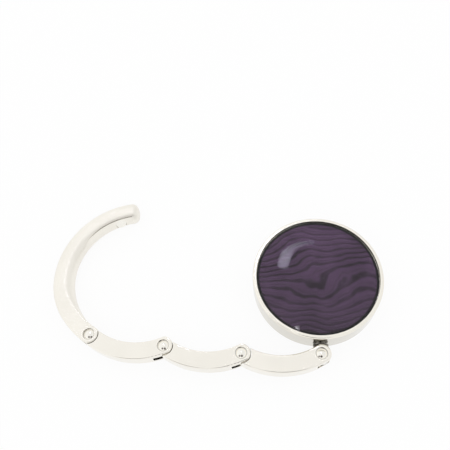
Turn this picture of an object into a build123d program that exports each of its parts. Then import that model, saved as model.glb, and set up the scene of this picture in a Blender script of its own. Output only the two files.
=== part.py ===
from build123d import *
import os
from math import asin, cos, degrees, radians, sin, sqrt, tan

# A folding purse hook. A round disc lies on the table, a chain of three links and
# one long hook arm folds round it into a ring, and a swivel lets the chain turn
# about the disc so that it can hang down over the table's edge.
# Units are millimetres. The origin is the centre of the rest face under the disc,
# +Z is up, and the swivel leaves the disc towards -Y.

# Disc
disc_radius = 17.45
disc_top = 7.5
disc_bottom = 0.3
disc_edge_radius = 0.4
rim_width = 0.95
insert_recess_depth = 1.1
deck_thickness = 0.8
wall_thickness = 2.1
base_plate_thickness = 0.5
base_seat_width = 0.9

# Insert
insert_gap = 0.12
insert_film_thickness = 0.1
print_thickness = 0.2
dome_edge_height = 0.35
dome_crown_height = 1.05
dome_edge_round = 0.16

# Underside pad
pad_margin = 2.85
pad_film_thickness = 0.1
pad_recess_depth = 0.25
pad_edge_radius = 0.2

# Swivel
stem_radius = 1.1
stem_running_gap = 0.04
stem_end_length = 0.8
eye_thrust_gap = 0.05
eye_wall_gap = 0.2
eye_collar_inset = 0.2
eye_neck_inset = 0.35
bush_wall = 0.26
bush_length = 3.5
bush_flange_lip = 0.4
bush_flange_thickness = 0.4
bush_set_back = 0.15
boss_floor = 0.55
boss_side_wall = 1.15
boss_end_wall = 0.95
groove_depth = 0.45
groove_play = 0.05
dowel_radius = 0.5
dowel_set_back = 0.1
dowel_overlap = 0.6

# Ring and chain
ring_gap = 0.65
chain_width = 4.6
chain_lift = 0.1
link_pitch_angle = 60.5
chain_edge_radius = 0.35

# Hinges
ear_overhang = 0.2
shoulder_gap = 0.22
heel_length = 3.15
heel_width = 0.8
root_gap = 0.25
fork_plate_thickness = 1.2
tongue_side_gap = 0.1
rivet_pin_radius = 0.85
rivet_running_gap = 0.05
head_recess_wall = 0.7
head_recess_depth = 0.5
rivet_head_gap = 0.28
rivet_head_height = 0.48
rivet_head_edge = 0.08

# Hook arm
hook_span_angle = 144.9
hook_outer_swell = 1.0
hook_inner_swell = 0.3
hook_height_swell = 0.45
hook_block_angle = 12.0
hook_blend_angle = 42.0
hook_side_flat = 0.35
hook_crown_flat = 1.0
hook_crown_share = 0.48
nose_length = 1.9
nose_outer_round = 2.5
nose_inner_round = 1.4
nose_height_round = 1.5
nose_least_round = 0.1
facet_angle = 30.0
facet_fade_angle = 26.0
facet_end_angle = 5.2
facet_lean_angle = 15.0
facet_depth = 0.34
facet_groove_drop = 0.5
facet_groove_height = 0.3
facet_groove_depth = 0.22
tip_magnet_angle = 17.0
tip_magnet_radius = 1.6
tip_magnet_length = 1.3
tip_magnet_sink = 0.2

# Catch magnet
catch_magnet_length = 2.6
catch_magnet_proud = 0.5
catch_wall = 0.6
catch_side_wall = 0.9

# Fits, cuts and the number of sections in each changing stretch of the arm
press_gap = 0.01
cut_overrun = 1.0
blend_steps = 4
nose_steps = 5

# How far each hinge is opened from the folded ring in the rest pose, in degrees
open_a = 30.0
open_b = 55.5
open_c = 57.1
open_d = 7.2
swivel_angle = -90.0

# Disc heights and radii
insert_radius = disc_radius - rim_width
film_radius = insert_radius - 2 * insert_gap
deck_top = disc_top - insert_recess_depth
deck_bottom = deck_top - deck_thickness
cavity_radius = disc_radius - wall_thickness
base_plate_top = disc_bottom + base_plate_thickness
base_plate_radius = cavity_radius + base_seat_width
pad_radius = disc_radius - pad_margin

# The chain lies in line with the swivel's axis, and the taller hook arm reaches down to its lift
bush_outer_radius = stem_radius + stem_running_gap + bush_wall
bush_flange_radius = bush_outer_radius + bush_flange_lip
chain_middle = base_plate_top + boss_floor + bush_outer_radius
chain_bottom = chain_lift + hook_height_swell
chain_height = 2 * (chain_middle - chain_bottom)
chain_top = chain_bottom + chain_height

# Ring radii
ring_inner_radius = disc_radius + ring_gap
ring_outer_radius = ring_inner_radius + chain_width
pivot_radius = ring_inner_radius + chain_width / 2

# Hinge sizes
ear_reach = chain_width / 2 + ear_overhang
ear_angle = 2 * degrees(asin(ear_reach / pivot_radius))
shoulder_radius = ear_reach + shoulder_gap
heel_reach = sqrt(heel_length ** 2 + (chain_width / 2) ** 2)
slot_bottom = chain_bottom + fork_plate_thickness
slot_top = chain_top - fork_plate_thickness
tongue_bottom = slot_bottom + tongue_side_gap
tongue_top = slot_top - tongue_side_gap
head_recess_radius = chain_width / 2 - head_recess_wall
rivet_head_radius = head_recess_radius - rivet_head_gap
running_bore_radius = rivet_pin_radius + rivet_running_gap

# Hook arm places. Where the facet fades out it is cut about an axis moved towards it.
hook_inner_radius = ring_inner_radius - hook_inner_swell
hook_top = chain_top + hook_height_swell
hook_bottom = chain_bottom - hook_height_swell
hook_full_width = chain_width + hook_outer_swell + hook_inner_swell
nose_start_angle = hook_span_angle - degrees(nose_length / pivot_radius)
facet_radius = hook_inner_radius + facet_depth
facet_axis_shift = facet_depth / (1 - cos(radians(facet_fade_angle)))

# Swivel places, measured from the disc's axis along the swivel
bush_face = disc_radius - bush_set_back
flange_seat = bush_face - bush_flange_thickness
bush_inner_end = bush_face - bush_length
thrust_radius = bush_face + eye_thrust_gap
groove_radius = stem_radius - groove_depth
groove_middle = bush_inner_end - dowel_set_back - dowel_radius
boss_near = groove_middle - dowel_radius - boss_end_wall
boss_width = 2 * (bush_outer_radius + boss_side_wall)
stem_near = boss_near - stem_end_length
dowel_top = chain_middle + stem_radius + dowel_overlap
eye_neck_near = disc_radius + eye_wall_gap
eye_neck_width = chain_width - 2 * eye_neck_inset
eye_reach = sqrt((eye_neck_width / 2) ** 2 + (chain_width / 2) ** 2)

# Catch magnet places
catch_angle = swivel_angle - 3 * link_pitch_angle - (hook_span_angle - tip_magnet_angle)
catch_magnet_radius = chain_middle - base_plate_top - boss_floor
catch_seat = disc_radius - catch_wall
catch_near = catch_seat - catch_magnet_length + catch_magnet_proud
catch_boss_width = 2 * (catch_magnet_radius + catch_side_wall)


def polar(radius, angle):
    return radius * cos(radians(angle)), radius * sin(radians(angle))


def upright(radius, low, high, centre=(0, 0)):
    """A vertical cylinder from height low to height high."""
    body = Cylinder(radius, high - low, align=(Align.CENTER, Align.CENTER, Align.MIN))
    return Pos(centre[0], centre[1], low) * body


def radial(radius, near, far, angle):
    """A horizontal cylinder on a spoke at chain mid-height, from radius near to far."""
    body = Cylinder(radius, far - near, align=(Align.CENTER, Align.CENTER, Align.MIN))
    return Rot(0, 0, angle) * Pos(near, 0, chain_middle) * Rot(0, 90, 0) * body


def spoke_box(near, far, width, low, high, angle):
    """A box along a spoke, from radius near to far, centred across it."""
    body = Box(far - near, width, high - low, align=(Align.MIN, Align.CENTER, Align.MIN))
    return Rot(0, 0, angle) * Pos(near, 0, low) * body


def turned(points):
    """A solid of revolution about Z from a closed outline of (radius, height) points."""
    face = Plane.XZ * make_face(Polyline(*points, close=True))
    return revolve(face, Axis.Z)


def sector(inner, outer, low, high, start, end):
    """Part of a flat ring between two angles."""
    corners = [(inner, low), (outer, low), (outer, high), (inner, high)]
    face = Rot(0, 0, start) * (Plane.XZ * make_face(Polyline(*corners, close=True)))
    return revolve(face, Axis.Z, end - start)


# Chain pieces. Each is made with its near pivot on the +X axis and runs clockwise,
# in the folded ring, and is then turned into place.

def pivot_at(angle):
    return polar(pivot_radius, angle)


def through(radius, centre):
    """A vertical cutter that passes through the whole chain."""
    return upright(radius, chain_bottom - cut_overrun, chain_top + cut_overrun, centre)


def is_level(edge):
    return edge.bounding_box().size.Z < press_gap


def fork_band(far_angle):
    """The full-height band from the rounded ear to far_angle, edges rounded."""
    ear = sector(ring_inner_radius, ring_outer_radius, chain_bottom, chain_top, 0, ear_angle)
    ear = ear & upright(ear_reach, chain_bottom, chain_top, pivot_at(0))
    band = sector(ring_inner_radius, ring_outer_radius, chain_bottom, chain_top, -far_angle, 0)
    band = (band + ear).clean()
    rims = [e for e in band.edges() if e.geom_type == GeomType.CIRCLE and is_level(e)]
    return fillet(rims, chain_edge_radius)


def cut_fork(body, reach):
    """Cuts the slot, the rivet bore and the two head recesses at the near pivot.

    The slot is as deep as the reach, from the pivot, of the piece that turns in it.
    """
    pivot = pivot_at(0)
    body = body - upright(reach + root_gap, slot_bottom, slot_top, pivot)
    body = body - through(rivet_pin_radius + press_gap, pivot)
    top = chain_top - head_recess_depth
    bottom = chain_bottom + head_recess_depth
    body = body - upright(head_recess_radius, top, chain_top + cut_overrun, pivot)
    return body - upright(head_recess_radius, chain_bottom - cut_overrun, bottom, pivot)


def tongue_plate(inner, reach):
    """The part of the tongue's band outside radius inner and within reach of the far pivot."""
    start = -link_pitch_angle - ear_angle
    end = -link_pitch_angle + ear_angle
    plate = sector(inner, ring_outer_radius, tongue_bottom, tongue_top, start, end)
    return plate & upright(reach, tongue_bottom, tongue_top, pivot_at(-link_pitch_angle))


def make_link(slot_reach):
    """A fork, a curved body, and a round tongue whose heel closes the next slot in the folded ring."""
    body = fork_band(link_pitch_angle)
    far = pivot_at(-link_pitch_angle)
    body = body - through(shoulder_radius, far)
    body = body + tongue_plate(ring_inner_radius, ear_reach)
    body = body + tongue_plate(ring_outer_radius - heel_width, heel_reach)
    return cut_fork(body, slot_reach) - through(running_bore_radius, far)


def ease(share):
    """A smooth step from 0 to 1."""
    share = min(max(share, 0), 1)
    return share * share * (3 - 2 * share)


def arm_section(run, drawn=0):
    """The arm's cross-section run degrees after its pivot.

    Its sides, top and corners swell from the fork's block to a puffy oval. In the nose
    it is drawn in by a share, from 0 at the nose's root to 1 at its end.
    """
    swell = ease((run - hook_block_angle) / hook_blend_angle)
    inner = ring_inner_radius - hook_inner_swell * swell + nose_inner_round * drawn
    outer = ring_outer_radius + hook_outer_swell * swell - nose_outer_round * drawn
    high = chain_top + hook_height_swell * swell - nose_height_round * drawn
    low = chain_bottom - hook_height_swell * swell + nose_height_round * drawn
    full_across = hook_full_width - hook_crown_flat
    full_up = (hook_top - hook_bottom - hook_side_flat) / 2
    inner_across = chain_edge_radius + (full_across * hook_crown_share - chain_edge_radius) * swell
    outer_across = chain_edge_radius + (full_across * (1 - hook_crown_share) - chain_edge_radius) * swell
    up = chain_edge_radius + (full_up - chain_edge_radius) * swell
    inner_across = max(inner_across - nose_inner_round * drawn, nose_least_round)
    outer_across = max(outer_across - nose_outer_round * drawn, nose_least_round)
    up = max(up - nose_height_round * drawn, nose_least_round)
    left = inner + inner_across
    right = outer - outer_across
    lines = [
        Line((left, low), (right, low)),
        EllipticalCenterArc((right, low + up), outer_across, up, 270),
        Line((outer, low + up), (outer, high - up)),
        EllipticalCenterArc((right, high - up), outer_across, up, 0),
        Line((right, high), (left, high)),
        EllipticalCenterArc((left, high - up), inner_across, up, 90),
        Line((inner, high - up), (inner, low + up)),
        EllipticalCenterArc((left, low + up), inner_across, up, 180),
    ]
    across = Plane(origin=(0, 0, 0), x_dir=(*polar(1, -run), 0), z_dir=(*polar(1, -run - 90), 0))
    return across * make_face(Wire(lines))


def even_stretch(start, end):
    """The arm between two angles where its section stays the same."""
    return revolve(arm_section(end), Axis.Z, end - start)


def changing_stretch(start, end):
    """The arm between two angles where its section swells."""
    runs = [start + (end - start) * i / blend_steps for i in range(blend_steps + 1)]
    return loft([arm_section(run) for run in runs])


def make_nose():
    """The rounded end of the arm, from sections drawn in along a quarter turn."""
    sections = []
    for i in range(nose_steps + 1):
        turn = radians(90 * i / nose_steps)
        run = nose_start_angle + (hook_span_angle - nose_start_angle) * sin(turn)
        sections.append(arm_section(run, 1 - cos(turn)))
    return loft(sections)


def make_arm():
    """The long arc from the fork's block to the rounded nose."""
    swell_end = hook_block_angle + hook_blend_angle
    arm = changing_stretch(hook_block_angle, swell_end)
    arm = arm + even_stretch(swell_end, nose_start_angle)
    return arm + make_nose()


def lean_at(height):
    """How far the leaning facet lies behind its place at mid-height."""
    return (height - chain_middle) * tan(radians(facet_lean_angle))


def facet_stretch(radius, low, high, start, end):
    """A cutter between two angles, radius wide at mid-height and leaning with the facet."""
    bottom = radius + lean_at(low)
    top = radius + lean_at(high)
    outline = Polyline((0, low), (bottom, low), (top, high), (0, high), close=True)
    face = Rot(0, 0, start) * (Plane.XZ * make_face(outline))
    return revolve(face, Axis.Z, end - start)


def facet_cut(low, high, depth):
    """A cutter for the facet between two heights: an even stretch and a shorter one that fades out."""
    start = -(hook_span_angle - facet_end_angle)
    middle = -(hook_span_angle - facet_angle)
    radius = facet_radius + depth
    even = facet_stretch(radius, low, high, start, middle)
    fading = facet_stretch(radius - facet_axis_shift, low, high, middle, middle + 2 * facet_fade_angle)
    x, y = polar(facet_axis_shift, middle)
    return even + Pos(x, y, 0) * fading


def tip_magnet_at(sink):
    """The place of the tip's magnet, sunk below the facet, with +Z pointing into the arm."""
    spoke = Rot(0, 0, -(hook_span_angle - tip_magnet_angle)) * Pos(facet_radius, 0, chain_middle)
    return spoke * Rot(0, 90 + facet_lean_angle, 0) * Pos(0, 0, sink)


def peg(radius, length):
    return Cylinder(radius, length, align=(Align.CENTER, Align.CENTER, Align.MIN))


def make_hook_arm():
    body = fork_band(hook_block_angle) + make_arm()
    body = cut_fork(body, heel_reach)
    body = body - facet_cut(hook_bottom - cut_overrun, hook_top + cut_overrun, 0)
    top = hook_top - facet_groove_drop
    body = body - facet_cut(top - facet_groove_height, top, facet_groove_depth)
    pocket = peg(tip_magnet_radius + press_gap, cut_overrun + tip_magnet_sink + tip_magnet_length)
    return body - tip_magnet_at(-cut_overrun) * pocket


def make_tip_magnet():
    return tip_magnet_at(tip_magnet_sink) * peg(tip_magnet_radius, tip_magnet_length)


def domed(radius, low, edge, crown):
    """A disc with a straight edge up to one height and a spherical top up to its crown."""
    rise = crown - edge
    ball = (radius ** 2 + rise ** 2) / (2 * rise)
    middle = radius / 2
    height = crown - ball + sqrt(ball ** 2 - middle ** 2)
    outline = [
        Line((0, low), (radius, low)),
        Line((radius, low), (radius, edge)),
        ThreePointArc((radius, edge), (middle, height), (0, crown)),
        Line((0, crown), (0, low)),
    ]
    return revolve(Plane.XZ * make_face(Wire(outline)), Axis.Z)


def make_rivet():
    low = chain_bottom + head_recess_depth
    high = chain_top - head_recess_depth
    x, y = pivot_at(0)
    pin = upright(rivet_pin_radius, low, high, (x, y))
    head = domed(rivet_head_radius, 0, rivet_head_edge, rivet_head_height)
    return pin + Pos(x, y, high) * head + Pos(x, y, low) * Rot(180, 0, 0) * head


# Disc pieces

def make_housing():
    outline = [
        (0, deck_bottom), (cavity_radius, deck_bottom), (cavity_radius, base_plate_top),
        (base_plate_radius + press_gap, base_plate_top), (base_plate_radius + press_gap, disc_bottom),
        (disc_radius, disc_bottom), (disc_radius, disc_top), (insert_radius, disc_top),
        (insert_radius, deck_top), (0, deck_top),
    ]
    body = turned(outline)
    circles = [e for e in body.edges() if e.geom_type == GeomType.CIRCLE]
    outer = [e for e in circles if abs(e.radius - disc_radius) < press_gap]
    body = fillet(outer, disc_edge_radius)
    inner_wall = cavity_radius + press_gap
    body = body + spoke_box(boss_near, inner_wall, boss_width, base_plate_top, deck_bottom, swivel_angle)
    catch_top = chain_middle + catch_magnet_radius + catch_wall
    body = body + spoke_box(catch_near, inner_wall, catch_boss_width, base_plate_top, catch_top, catch_angle)
    clear = disc_radius + cut_overrun
    body = body - radial(bush_outer_radius + press_gap, bush_inner_end, clear, swivel_angle)
    body = body - radial(bush_flange_radius + press_gap, flange_seat, clear, swivel_angle)
    body = body - radial(stem_radius + stem_running_gap, boss_near - cut_overrun, disc_radius, swivel_angle)
    for place in dowel_places():
        body = body - upright(dowel_radius + press_gap, base_plate_top - cut_overrun, dowel_top, place)
    return body - radial(catch_magnet_radius + press_gap, catch_near - cut_overrun, catch_seat, catch_angle)


def dowel_places():
    """Where the two dowels stand, one on each side of the stem's groove."""
    aside = groove_radius + dowel_radius + stem_running_gap
    places = []
    for side in (-1, 1):
        along = polar(groove_middle, swivel_angle)
        across = polar(side * aside, swivel_angle + 90)
        places.append((along[0] + across[0], along[1] + across[1]))
    return places


def make_dowels():
    return Compound([upright(dowel_radius, base_plate_top, dowel_top, place) for place in dowel_places()])


def make_base_plate():
    body = upright(base_plate_radius, disc_bottom, base_plate_top)
    return body - upright(pad_radius + insert_gap, disc_bottom - cut_overrun, disc_bottom + pad_recess_depth)


def make_pad_film():
    top = disc_bottom + pad_recess_depth
    return upright(pad_radius, top - pad_film_thickness, top)


def make_pad():
    body = upright(pad_radius, 0, disc_bottom + pad_recess_depth - pad_film_thickness)
    return fillet(body.edges().group_by(Axis.Z)[0], pad_edge_radius)


def make_insert_film():
    return upright(film_radius, deck_top, deck_top + insert_film_thickness)


def make_print():
    low = deck_top + insert_film_thickness
    return upright(film_radius, low, low + print_thickness)


def make_dome():
    """The resin dome: a low spherical cap on a short straight edge."""
    low = deck_top + insert_film_thickness + print_thickness
    edge = low + dome_edge_height
    body = domed(insert_radius - insert_gap, low, edge, low + dome_crown_height)
    circles = [e for e in body.edges() if e.geom_type == GeomType.CIRCLE]
    rim = [e for e in circles if abs(e.center().Z - edge) < press_gap]
    return fillet(rim, dome_edge_round)


def make_catch_magnet():
    return radial(catch_magnet_radius, catch_seat - catch_magnet_length, catch_seat, catch_angle)


def make_bush():
    body = radial(bush_outer_radius, bush_inner_end, bush_face, swivel_angle)
    body = body + radial(bush_flange_radius, flange_seat, bush_face, swivel_angle)
    bore = stem_radius + stem_running_gap
    return body - radial(bore, bush_inner_end - cut_overrun, bush_face + cut_overrun, swivel_angle)


def make_eye():
    """Stem with its groove, round collar, and the flat eye in the first link's fork."""
    x, y = polar(pivot_radius, swivel_angle)
    low = tongue_bottom
    high = tongue_top
    eye = upright(chain_width / 2, low, high, (x, y))
    eye = eye + spoke_box(eye_neck_near, pivot_radius, eye_neck_width, low, high, swivel_angle)
    eye = eye + radial(bush_flange_radius - eye_collar_inset, thrust_radius, eye_neck_near, swivel_angle)
    stem = radial(stem_radius, stem_near, thrust_radius, swivel_angle)
    near = groove_middle - dowel_radius - groove_play
    far = groove_middle + dowel_radius + groove_play
    waist = radial(stem_radius + cut_overrun, near, far, swivel_angle)
    waist = waist - radial(groove_radius, near - cut_overrun, far + cut_overrun, swivel_angle)
    return eye + (stem - waist) - through(running_bore_radius, (x, y))


# The rest pose: each hinge opened by its own angle from the folded ring.

def ring_angle(index):
    return swivel_angle - index * link_pitch_angle


def hinge_turn(index, angle):
    x, y = polar(pivot_radius, ring_angle(index))
    return Pos(x, y, 0) * Rot(0, 0, angle) * Pos(-x, -y, 0)


def place(index):
    """Takes a chain piece from its own frame to the rest pose."""
    move = Location()
    for hinge, angle in enumerate((open_a, open_b, open_c, open_d)[:index + 1]):
        move = move * hinge_turn(hinge, angle)
    return move * Rot(0, 0, ring_angle(index))


def save(name, solid):
    export_step(solid, f"parts/{name}.step")


def main():
    os.makedirs("parts", exist_ok=True)
    save("disc_housing", make_housing())
    save("base_plate", make_base_plate())
    save("pad_adhesive", make_pad_film())
    save("rubber_pad", make_pad())
    save("insert_adhesive", make_insert_film())
    save("print_disc", make_print())
    save("epoxy_dome", make_dome())
    save("catch_magnet", make_catch_magnet())
    save("swivel_bush", make_bush())
    save("swivel_pins", make_dowels())
    save("swivel_eye", make_eye())
    rivet = make_rivet()
    for index, slot_reach in enumerate((eye_reach, heel_reach, heel_reach)):
        save(f"link_{index + 1}", place(index) * make_link(slot_reach))
    save("hook_arm", place(3) * make_hook_arm())
    save("tip_magnet", place(3) * make_tip_magnet())
    for index, letter in enumerate("abcd"):
        save(f"rivet_{letter}", place(index) * rivet)


main()
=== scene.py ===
from math import cos, pi, radians, sin

import bpy
from mathutils import Matrix, Vector


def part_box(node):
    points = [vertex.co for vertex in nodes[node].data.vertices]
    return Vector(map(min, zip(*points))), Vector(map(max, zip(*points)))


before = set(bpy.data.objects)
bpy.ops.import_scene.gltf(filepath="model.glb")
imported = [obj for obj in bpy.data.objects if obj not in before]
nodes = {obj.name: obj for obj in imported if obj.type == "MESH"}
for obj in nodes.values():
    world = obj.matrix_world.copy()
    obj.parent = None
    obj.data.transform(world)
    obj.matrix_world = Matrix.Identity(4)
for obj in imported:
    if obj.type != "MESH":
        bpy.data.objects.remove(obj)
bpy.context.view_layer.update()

# Metres throughout, in the same frame as the solids: the origin is on the table under
# the disc's centre, +Z is up, the swivel leaves the disc towards -Y.
MM = 0.001

# Camera: the sensor is in millimetres, the angles are in degrees, and disc_in_view is
# where the disc's centre lies from the point aimed at, measured along the heading.
image_pixels = 450
focal_pixels = 522.88
sensor_width = 36.0
near_clip = 0.01
far_clip = 20.0
camera_elevation = 61.34
camera_roll = -8.11
camera_heading = 8.31
camera_distance = 149.58 * MM
disc_in_view = Vector((22.73 * MM, -19.19 * MM))
aim_height = 7.5 * MM

# Metal: how far the wear of an edge reaches and how much brighter it is, and the depths
# of the marks. A normal's upright part tells walls, which get a painted shade, from level faces.
wear_reach = 0.35 * MM
wear_gain = 1.05
peel_depth = 0.02 * MM
scratch_depth = 0.004 * MM
wall_below = 0.10
level_above = 0.45

# Print: colours, spacing and tilt of the lines, how many spacings they sweep and ripple,
# how far each layer darkens the ground, and how far in from the print's edge the black
# border starts and is full. The painted shade at the swivel's side ends past the centre,
# at a share of the radius.
grain_ground_low = (0.076, 0.030, 0.090)
grain_ground_high = (0.106, 0.048, 0.124)
grain_line = (0.020, 0.006, 0.022)
border_black = (0.004, 0.003, 0.004)
grain_spacing = 2.2 * MM
grain_tilt = -0.12
grain_sweep = 7.5
grain_ripple = 1.5
swivel_side_shade = 0.35
swivel_shade_end = 0.2
fibre_shade = 0.30
thin_line_shade = 0.35
weakest_line = 0.50
border_start = 0.68 * MM
border_full = 0.50 * MM

# Resin, rubber and film. The resin's black side, a painted shade of the gap at the dome's edge,
# starts and is full this far in from its edge.
resin_clear = (0.97, 0.97, 0.98)
resin_side_start = 0.06 * MM
resin_side_full = 0.03 * MM
resin_wave_depth = 0.05 * MM
rubber_low = (0.018, 0.018, 0.020)
rubber_high = (0.045, 0.045, 0.048)
rubber_grain_depth = 0.03 * MM
film_low = (0.60, 0.57, 0.50)
film_high = (0.70, 0.68, 0.61)

# Floor, and the dark cards that only gloss shows. Each card has its shift to the
# camera's right, its lift, its inner and outer radius, and its colour.
floor_half = 3.0
floor_drop = 0.0005 * MM
floor_white = (0.95, 0.95, 0.95)
floor_glow_share = 0.90
card_sides = 48
card_behind = 2.0 * MM
dark_cards = {
    "lens_card": (13.0 * MM, -22.0 * MM, 28.0 * MM, 40.0 * MM, (0.10, 0.08, 0.07)),
    "arm_card": (-68.0 * MM, -22.0 * MM, 22.0 * MM, 42.0 * MM, (0.15, 0.12, 0.11)),
}

# Room: plain white, but gloss shows it lighter at the left and dimmer at the right, each
# in full from this part of the direction's X outwards
room_white = (1.0, 1.0, 1.0)
room_left = 1.03
room_right = 0.92
room_edge = 0.45
# The window in bent steps, and then the lamp: azimuth, elevation, inner and outer angle
# in degrees, and colour
sky_spots = [
    (95.8, 63.7, 0.4, 1.8, (8.0, 7.8, 9.6)),
    (94.6, 62.4, 0.6, 1.8, (9.0, 8.8, 10.6)),
    (93.2, 61.0, 0.6, 1.8, (9.0, 8.8, 10.6)),
    (91.2, 59.8, 0.5, 1.5, (6.2, 6.1, 7.3)),
    (88.8, 58.9, 0.4, 1.3, (5.2, 5.1, 6.2)),
    (86.2, 58.3, 0.3, 1.1, (4.4, 4.4, 5.3)),
    (83.6, 57.8, 0.3, 1.0, (3.8, 3.8, 4.7)),
    (81.0, 57.4, 0.2, 1.0, (3.2, 3.2, 4.1)),
    (88.0, 81.0, 0.2, 0.8, (12.0, 11.5, 12.5)),
]


def scaled(colour, share):
    """A colour times a share, with no channel above 1."""
    return tuple(min(1.0, channel * share) for channel in colour)


# Node helpers

def new_material(name):
    """A material with one Principled shader, and its node tree."""
    material = bpy.data.materials.new(name)
    material.use_nodes = True
    tree = material.node_tree
    return material, tree, tree.nodes["Principled BSDF"]


def feed(tree, socket, value):
    """Gives an input its value: another node's output is linked, anything else is written."""
    if isinstance(value, bpy.types.NodeSocket):
        tree.links.new(value, socket)
    elif socket.type == "RGBA":
        socket.default_value = (*value, 1)
    else:
        socket.default_value = value


def feed_all(tree, node, inputs):
    """Gives several inputs their values. Each is called by its name or number."""
    for key, value in inputs.items():
        feed(tree, node.inputs[key], value)


def add(tree, kind, inputs=None, **properties):
    """Adds a node, sets its properties and gives its inputs their values."""
    node = tree.nodes.new(kind)
    for name, value in properties.items():
        setattr(node, name, value)
    feed_all(tree, node, inputs or {})
    return node


def noise(tree, coords, detail, scale=1.0, roughness=0.5, stretch=(1, 1, 1)):
    """Noise over the solid. Its scale, times the stretch along each axis, is in waves per metre."""
    mapping = add(tree, "ShaderNodeMapping", {"Vector": coords.outputs["Object"], "Scale": stretch})
    texture = add(tree, "ShaderNodeTexNoise", {
        "Vector": mapping.outputs["Vector"],
        "Scale": scale,
        "Detail": detail,
        "Roughness": roughness,
    })
    return texture.outputs["Fac"]


def ramp(tree, source, first, second):
    """A ramp between two colours. Each is given with its place on the ramp."""
    node = add(tree, "ShaderNodeValToRGB", {"Fac": source})
    for element, (place, colour) in zip(node.color_ramp.elements, (first, second)):
        element.position = place
        element.color = (*colour, 1)
    return node.outputs["Color"]


def remap(tree, source, first, last, start=0.0, end=1.0, curve="LINEAR"):
    """The first value where the source is at start or below it, the last at end or above it."""
    node = add(tree, "ShaderNodeMapRange", {
        "Value": source,
        "From Min": start,
        "From Max": end,
        "To Min": first,
        "To Max": last,
    }, interpolation_type=curve)
    return node.outputs["Result"]


def bump(tree, height, strength, distance, under=None):
    """Relief from a height. A relief under it is kept."""
    node = add(tree, "ShaderNodeBump", {"Height": height, "Strength": strength, "Distance": distance})
    if under is not None:
        tree.links.new(under, node.inputs["Normal"])
    return node.outputs["Normal"]


def mix(tree, factor, first, second):
    """Mixes two colours. Each is a socket or a tuple."""
    node = add(tree, "ShaderNodeMix", {"Factor": factor}, data_type="RGBA")
    colour_inputs = [socket for socket in node.inputs if socket.type == "RGBA"]
    for socket, value in zip(colour_inputs, (first, second)):
        feed(tree, socket, value)
    return [socket for socket in node.outputs if socket.type == "RGBA"][0]


def calc(tree, operation, *values):
    """One arithmetic step. Each value is a socket or a number."""
    return add(tree, "ShaderNodeMath", dict(enumerate(values)), operation=operation).outputs["Value"]


def length(tree, vector):
    return add(tree, "ShaderNodeVectorMath", {0: vector}, operation="LENGTH").outputs["Value"]


def from_axis(tree, coords):
    """The distance from the disc's axis."""
    flat = add(tree, "ShaderNodeVectorMath", {0: coords.outputs["Object"], 1: (1, 1, 0)},
               operation="MULTIPLY")
    return length(tree, flat.outputs["Vector"])


def upright(tree):
    """1 on upright walls, 0 on level faces."""
    geometry = add(tree, "ShaderNodeNewGeometry")
    parts = add(tree, "ShaderNodeSeparateXYZ", {"Vector": geometry.outputs["Normal"]})
    return remap(tree, calc(tree, "ABSOLUTE", parts.outputs["Z"]), 1.0, 0.0, wall_below, level_above)


def ray_is(tree, first, *others):
    """1 for a ray of any of these kinds."""
    path = add(tree, "ShaderNodeLightPath")
    seen = path.outputs[first]
    for kind in others:
        seen = calc(tree, "MAXIMUM", seen, path.outputs[kind])
    return seen


def blend_shaders(tree, factor, first, second):
    """Sends a blend of two shader nodes to the material's surface."""
    blend = add(tree, "ShaderNodeMixShader", {"Fac": factor, 1: first.outputs[0], 2: second.outputs[0]})
    tree.links.new(blend.outputs["Shader"], tree.nodes["Material Output"].inputs["Surface"])


# Materials

def polished_metal(name, bright, dull, rough, marks=0.08, reach=0.30 * MM, share=0.45, painted_wall_share=1.0):
    """Plated metal: slight tone drift, fine marks, brighter worn edges. Rough is a pair, for clean and
    for smeared places. Crevices, where something stands within reach, get a painted shade of a share
    of the dull tone, and upright walls a painted shade of a share of their own."""
    material, tree, shader = new_material(name)
    coords = add(tree, "ShaderNodeTexCoord")
    drift = noise(tree, coords, scale=130.0, detail=4.0)
    tone = ramp(tree, drift, (0.3, dull), (0.7, bright))
    edge = add(tree, "ShaderNodeAmbientOcclusion", {"Distance": wear_reach},
               inside=True, only_local=True, samples=6)
    wear = remap(tree, edge.outputs["AO"], 1.0, 0.0, start=0.55, end=0.95)
    tone = mix(tree, wear, tone, scaled(bright, wear_gain))
    # Painted shade: crevices and gaps darken towards a share of the dull tone.
    crevice = add(tree, "ShaderNodeAmbientOcclusion", {"Distance": reach}, samples=8)
    crevice_shade = remap(tree, crevice.outputs["AO"], 1.0, 0.0, start=0.30, end=0.80)
    tone = mix(tree, crevice_shade, tone, scaled(dull, share))
    # Painted shade: upright walls darken towards a share of the dull tone.
    if painted_wall_share < 1.0:
        tone = mix(tree, upright(tree), tone, scaled(dull, painted_wall_share))
    smear = noise(tree, coords, scale=420.0, detail=5.0, roughness=0.6)
    peel = noise(tree, coords, scale=900.0, detail=2.0)
    scratches = noise(tree, coords, scale=5200.0, detail=2.0)
    relief = bump(tree, peel, marks, peel_depth)
    feed_all(tree, shader, {
        "Base Color": tone,
        "Metallic": 1.0,
        "Roughness": remap(tree, smear, *rough, start=0.3, end=0.7),
        "Normal": bump(tree, scratches, marks, scratch_depth, under=relief),
    })
    return material


def grain_lines(tree, phase, per_period, start, end):
    """Dark lines of the grain: 1 along each crest of a sine of the phase, 0 between them."""
    wave = calc(tree, "SINE", calc(tree, "MULTIPLY", phase, 2 * pi * per_period))
    return remap(tree, wave, 0.0, 1.0, start, end)


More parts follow.
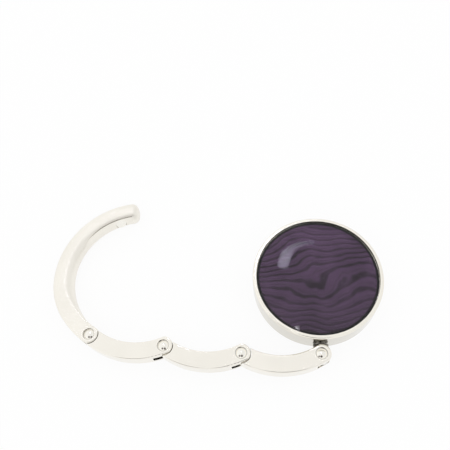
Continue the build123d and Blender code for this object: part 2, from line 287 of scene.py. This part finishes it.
def grain_print(name, radius):
    """A dark purple printed wood grain: sweeping dark lines, fine fibres, a black border."""
    material, tree, shader = new_material(name)
    coords = add(tree, "ShaderNodeTexCoord")
    sides = add(tree, "ShaderNodeSeparateXYZ", {"Vector": coords.outputs["Object"]})
    x, y = sides.outputs["X"], sides.outputs["Y"]
    sweep = noise(tree, coords, detail=0.5, stretch=(52.0, 60.0, 1.0))
    ripple = noise(tree, coords, detail=2.0, stretch=(170.0, 150.0, 1.0))
    fibre = noise(tree, coords, detail=4.0, roughness=0.6, stretch=(120.0, 1500.0, 1.0))
    patches = noise(tree, coords, scale=120.0, detail=2.0)
    tilted = calc(tree, "ADD", y, calc(tree, "MULTIPLY", x, grain_tilt))
    phase = calc(tree, "DIVIDE", tilted, grain_spacing)
    for wobble, spacings in ((sweep, grain_sweep), (ripple, grain_ripple)):
        phase = calc(tree, "ADD", phase, calc(tree, "MULTIPLY", wobble, spacings))
    lines = grain_lines(tree, phase, per_period=1.0, start=0.20, end=0.90)
    thin_lines = grain_lines(tree, phase, per_period=2.0, start=0.45, end=1.0)
    strength = remap(tree, patches, 1.0, weakest_line, start=0.38, end=0.62)
    layers = (
        # Painted shade, darker towards the swivel's side.
        remap(tree, y, swivel_side_shade, 0.0, -radius, swivel_shade_end * radius),
        remap(tree, fibre, 0.0, fibre_shade, start=0.35, end=0.75),
        calc(tree, "MULTIPLY", thin_lines, thin_line_shade),
        calc(tree, "MULTIPLY", lines, strength),
    )
    colour = ramp(tree, patches, (0.35, grain_ground_low), (0.65, grain_ground_high))
    for layer in layers:
        colour = mix(tree, layer, colour, grain_line)
    border = remap(tree, from_axis(tree, coords), 0.0, 1.0, radius - border_start, radius - border_full)
    feed_all(tree, shader, {
        "Base Color": mix(tree, border, colour, border_black),
        "Roughness": remap(tree, fibre, 0.45, 0.65),
    })
    return material


def clear_resin(name, radius):
    """Clear resin whose side is painted black as the shade of the gap at its edge. Shadow and diffuse
    rays pass it, so that the print is lit.
    """
    material, tree, shader = new_material(name)
    coords = add(tree, "ShaderNodeTexCoord")
    # Painted shade: the dome's side is black, as the gap beside it.
    side = remap(tree, from_axis(tree, coords), 0.0, 1.0,
                 radius - resin_side_start, radius - resin_side_full)
    wave = noise(tree, coords, scale=160.0, detail=1.0)
    feed_all(tree, shader, {
        "Base Color": mix(tree, side, resin_clear, border_black),
        "Roughness": 0.02,
        "IOR": 1.34,
        "Transmission Weight": remap(tree, side, 1.0, 0.0),
        "Normal": bump(tree, wave, 0.12, resin_wave_depth),
    })
    passes = ray_is(tree, "Is Shadow Ray", "Is Diffuse Ray")
    blend_shaders(tree, passes, shader, add(tree, "ShaderNodeBsdfTransparent"))
    return material


def matt_rubber(name):
    """Black rubber with a fine matt grain."""
    material, tree, shader = new_material(name)
    coords = add(tree, "ShaderNodeTexCoord")
    grain = noise(tree, coords, scale=2600.0, detail=5.0, roughness=0.7)
    feed_all(tree, shader, {
        "Base Color": ramp(tree, grain, (0.3, rubber_low), (0.75, rubber_high)),
        "Roughness": remap(tree, grain, 0.62, 0.85),
        "Normal": bump(tree, grain, 0.5, rubber_grain_depth),
    })
    return material


def film(name):
    """A thin adhesive film, pale and slightly mottled."""
    material, tree, shader = new_material(name)
    coords = add(tree, "ShaderNodeTexCoord")
    mottle = noise(tree, coords, scale=900.0, detail=3.0)
    feed_all(tree, shader, {
        "Base Color": ramp(tree, mottle, (0.3, film_low), (0.7, film_high)),
        "Roughness": remap(tree, mottle, 0.35, 0.6),
    })
    return material


def dress(material, *names):
    """Gives every slot of these solids the one material."""
    for name in names:
        mesh = nodes[name].data
        if not mesh.materials:
            mesh.materials.append(material)
        for i in range(len(mesh.materials)):
            mesh.materials[i] = material


# The housing's walls take a painted shade, and each metal's reach and share set the painted shade in its
# crevices.
nickel = polished_metal("polished_nickel", bright=(0.91, 0.88, 0.80), dull=(0.89, 0.86, 0.78),
                        rough=(0.09, 0.15), painted_wall_share=0.78)
# The swivel's long crevice reach and low share paint a deep shade over its neck by the disc's wall.
swivel_metal = polished_metal("swivel_nickel", bright=(0.80, 0.78, 0.72), dull=(0.74, 0.72, 0.66),
                              rough=(0.12, 0.20), reach=1.6 * MM, share=0.08)
satin = polished_metal("satin_nickel", bright=(0.91, 0.88, 0.81), dull=(0.88, 0.85, 0.78),
                       rough=(0.10, 0.14), marks=0.03, share=0.08)
soft_satin = polished_metal("arm_nickel", bright=(0.92, 0.89, 0.82), dull=(0.89, 0.86, 0.79),
                            rough=(0.34, 0.40), marks=0.03, share=0.20)
rivet_metal = polished_metal("rivet_nickel", bright=(0.91, 0.89, 0.83), dull=(0.88, 0.86, 0.80),
                             rough=(0.07, 0.12))
brushed = polished_metal("brushed_sheet", bright=(0.70, 0.69, 0.66), dull=(0.62, 0.61, 0.58),
                         rough=(0.30, 0.42))
bush_metal = polished_metal("turned_bush", bright=(0.70, 0.69, 0.65), dull=(0.60, 0.59, 0.56),
                            rough=(0.22, 0.36))
magnet = polished_metal("plated_magnet", bright=(0.94, 0.92, 0.86), dull=(0.91, 0.89, 0.83),
                        rough=(0.24, 0.32), marks=0.03)
dress(nickel, "disc_housing")
dress(swivel_metal, "swivel_eye")
dress(satin, "link_1", "link_2", "link_3")
dress(soft_satin, "hook_arm")
dress(rivet_metal, "rivet_a", "rivet_b", "rivet_c", "rivet_d", "swivel_pins")
dress(brushed, "base_plate")
dress(bush_metal, "swivel_bush")
dress(magnet, "catch_magnet", "tip_magnet")
dress(grain_print("purple_grain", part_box("print_disc")[1].x), "print_disc")
dress(clear_resin("clear_resin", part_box("epoxy_dome")[1].x), "epoxy_dome")
dress(matt_rubber("black_rubber"), "rubber_pad")
dress(film("adhesive_film"), "pad_adhesive", "insert_adhesive")


# Stage

def camera_frame():
    """The camera's place, and its right, up and backward directions."""
    elevation, roll = radians(camera_elevation), radians(camera_roll)
    forward = Vector((0, cos(elevation), -sin(elevation)))
    right = Vector((1, 0, 0))
    up = right.cross(forward)
    rolled_right = right * cos(roll) + up * sin(roll)
    rolled_up = up * cos(roll) - right * sin(roll)
    turn = Matrix.Rotation(radians(camera_heading), 3, "Z")
    aim = turn @ Vector((-disc_in_view.x, -disc_in_view.y, 0)) + Vector((0, 0, aim_height))
    place = aim - (turn @ forward) * camera_distance
    return place, turn @ rolled_right, turn @ rolled_up, turn @ -forward


def put(name, data, place, axes=((1, 0, 0), (0, 1, 0), (0, 0, 1))):
    """Puts an object in the scene, at a place and turned to these axes."""
    thing = bpy.data.objects.new(name, data)
    bpy.context.scene.collection.objects.link(thing)
    matrix = Matrix(axes).transposed().to_4x4()
    matrix.translation = place
    thing.matrix_world = matrix
    return thing


def add_camera():
    place, right, up, back = camera_frame()
    data = bpy.data.cameras.new("camera")
    data.sensor_width = sensor_width
    data.lens = focal_pixels / image_pixels * sensor_width
    data.clip_start = near_clip
    data.clip_end = far_clip
    bpy.context.scene.camera = put("camera", data, place, (right, up, back))


def card_material(name, inner, outer, colour):
    """Dark inside the inner radius, and gone outside the outer one."""
    material, tree, _ = new_material(name)
    coords = add(tree, "ShaderNodeTexCoord")
    fade = remap(tree, length(tree, coords.outputs["Object"]), 0.0, 1.0, inner, outer)
    dark = add(tree, "ShaderNodeEmission", {"Color": colour})
    blend_shaders(tree, fade, dark, add(tree, "ShaderNodeBsdfTransparent"))
    return material


def add_dark_card(name, shift, lift, inner, outer, colour):
    """A soft-edged dark disc beside the camera's place, as shiny surfaces show it: seen by gloss alone."""
    place, right, up, back = camera_frame()
    angles = [2 * pi * k / card_sides for k in range(card_sides)]
    corners = [(cos(angle) * outer, sin(angle) * outer, 0) for angle in angles]
    faces = [(0, k + 1, (k + 1) % card_sides + 1) for k in range(card_sides)]
    mesh = bpy.data.meshes.new(name)
    mesh.from_pydata([(0, 0, 0)] + corners, [], faces)
    mesh.materials.append(card_material(name + "_dark", inner, outer, colour))
    card = put(name, mesh, place + back * card_behind + right * shift + up * lift, (right, up, back))
    for ray in ("camera", "diffuse", "transmission", "volume_scatter", "shadow"):
        setattr(card, "visible_" + ray, False)


def floor_material(name):
    """Matt white that takes the object's shadow. Rays that see it find most of it a plain white glow."""
    material, tree, shader = new_material(name)
    feed_all(tree, shader, {"Base Color": floor_white, "Roughness": 0.9, "Specular IOR Level": 0.0})
    seen = ray_is(tree, "Is Camera Ray", "Is Transmission Ray", "Is Glossy Ray")
    share = calc(tree, "MULTIPLY", seen, floor_glow_share)
    blend_shaders(tree, share, shader, add(tree, "ShaderNodeEmission"))
    return material


def add_floor():
    corners = [(x * floor_half, y * floor_half, 0) for x, y in ((-1, -1), (1, -1), (1, 1), (-1, 1))]
    mesh = bpy.data.meshes.new("floor")
    mesh.from_pydata(corners, [], [(0, 1, 2, 3)])
    mesh.materials.append(floor_material("white_floor"))
    floor = put("floor", mesh, (0, 0, -floor_drop))


def spot(tree, direction, azimuth, elevation, inner, outer):
    """A soft-edged patch of sky: 1 inside the inner angle, 0 outside the outer one."""
    turn, rise = radians(azimuth), radians(elevation)
    centre = (cos(turn) * cos(rise), sin(turn) * cos(rise), sin(rise))
    towards = add(tree, "ShaderNodeVectorMath", {0: direction, 1: centre}, operation="DOT_PRODUCT")
    return remap(tree, towards.outputs["Value"], 0.0, 1.0, cos(radians(outer)), cos(radians(inner)),
                 curve="SMOOTHSTEP")


def add_world():
    """A plain white room. Gloss shows it a little dimmer to the right, with a window and a lamp."""
    world = bpy.data.worlds.new("studio")
    bpy.context.scene.world = world
    world.use_nodes = True
    tree = world.node_tree
    direction = add(tree, "ShaderNodeTexCoord").outputs["Generated"]
    parts = add(tree, "ShaderNodeSeparateXYZ", {"Vector": direction})
    light = remap(tree, parts.outputs["X"], room_left, room_right, -room_edge, room_edge)
    grey = add(tree, "ShaderNodeCombineColor", {"Red": light, "Green": light, "Blue": light})
    sky = grey.outputs["Color"]
    for *place, colour in sky_spots:
        sky = mix(tree, spot(tree, direction, *place), sky, colour)
    room = mix(tree, ray_is(tree, "Is Glossy Ray"), room_white, sky)
    feed_all(tree, tree.nodes["Background"], {"Color": room, "Strength": 1.0})


add_camera()
for name, values in dark_cards.items():
    add_dark_card(name, *values)
add_floor()
add_world()

bpy.context.scene.view_settings.view_transform = "Standard"
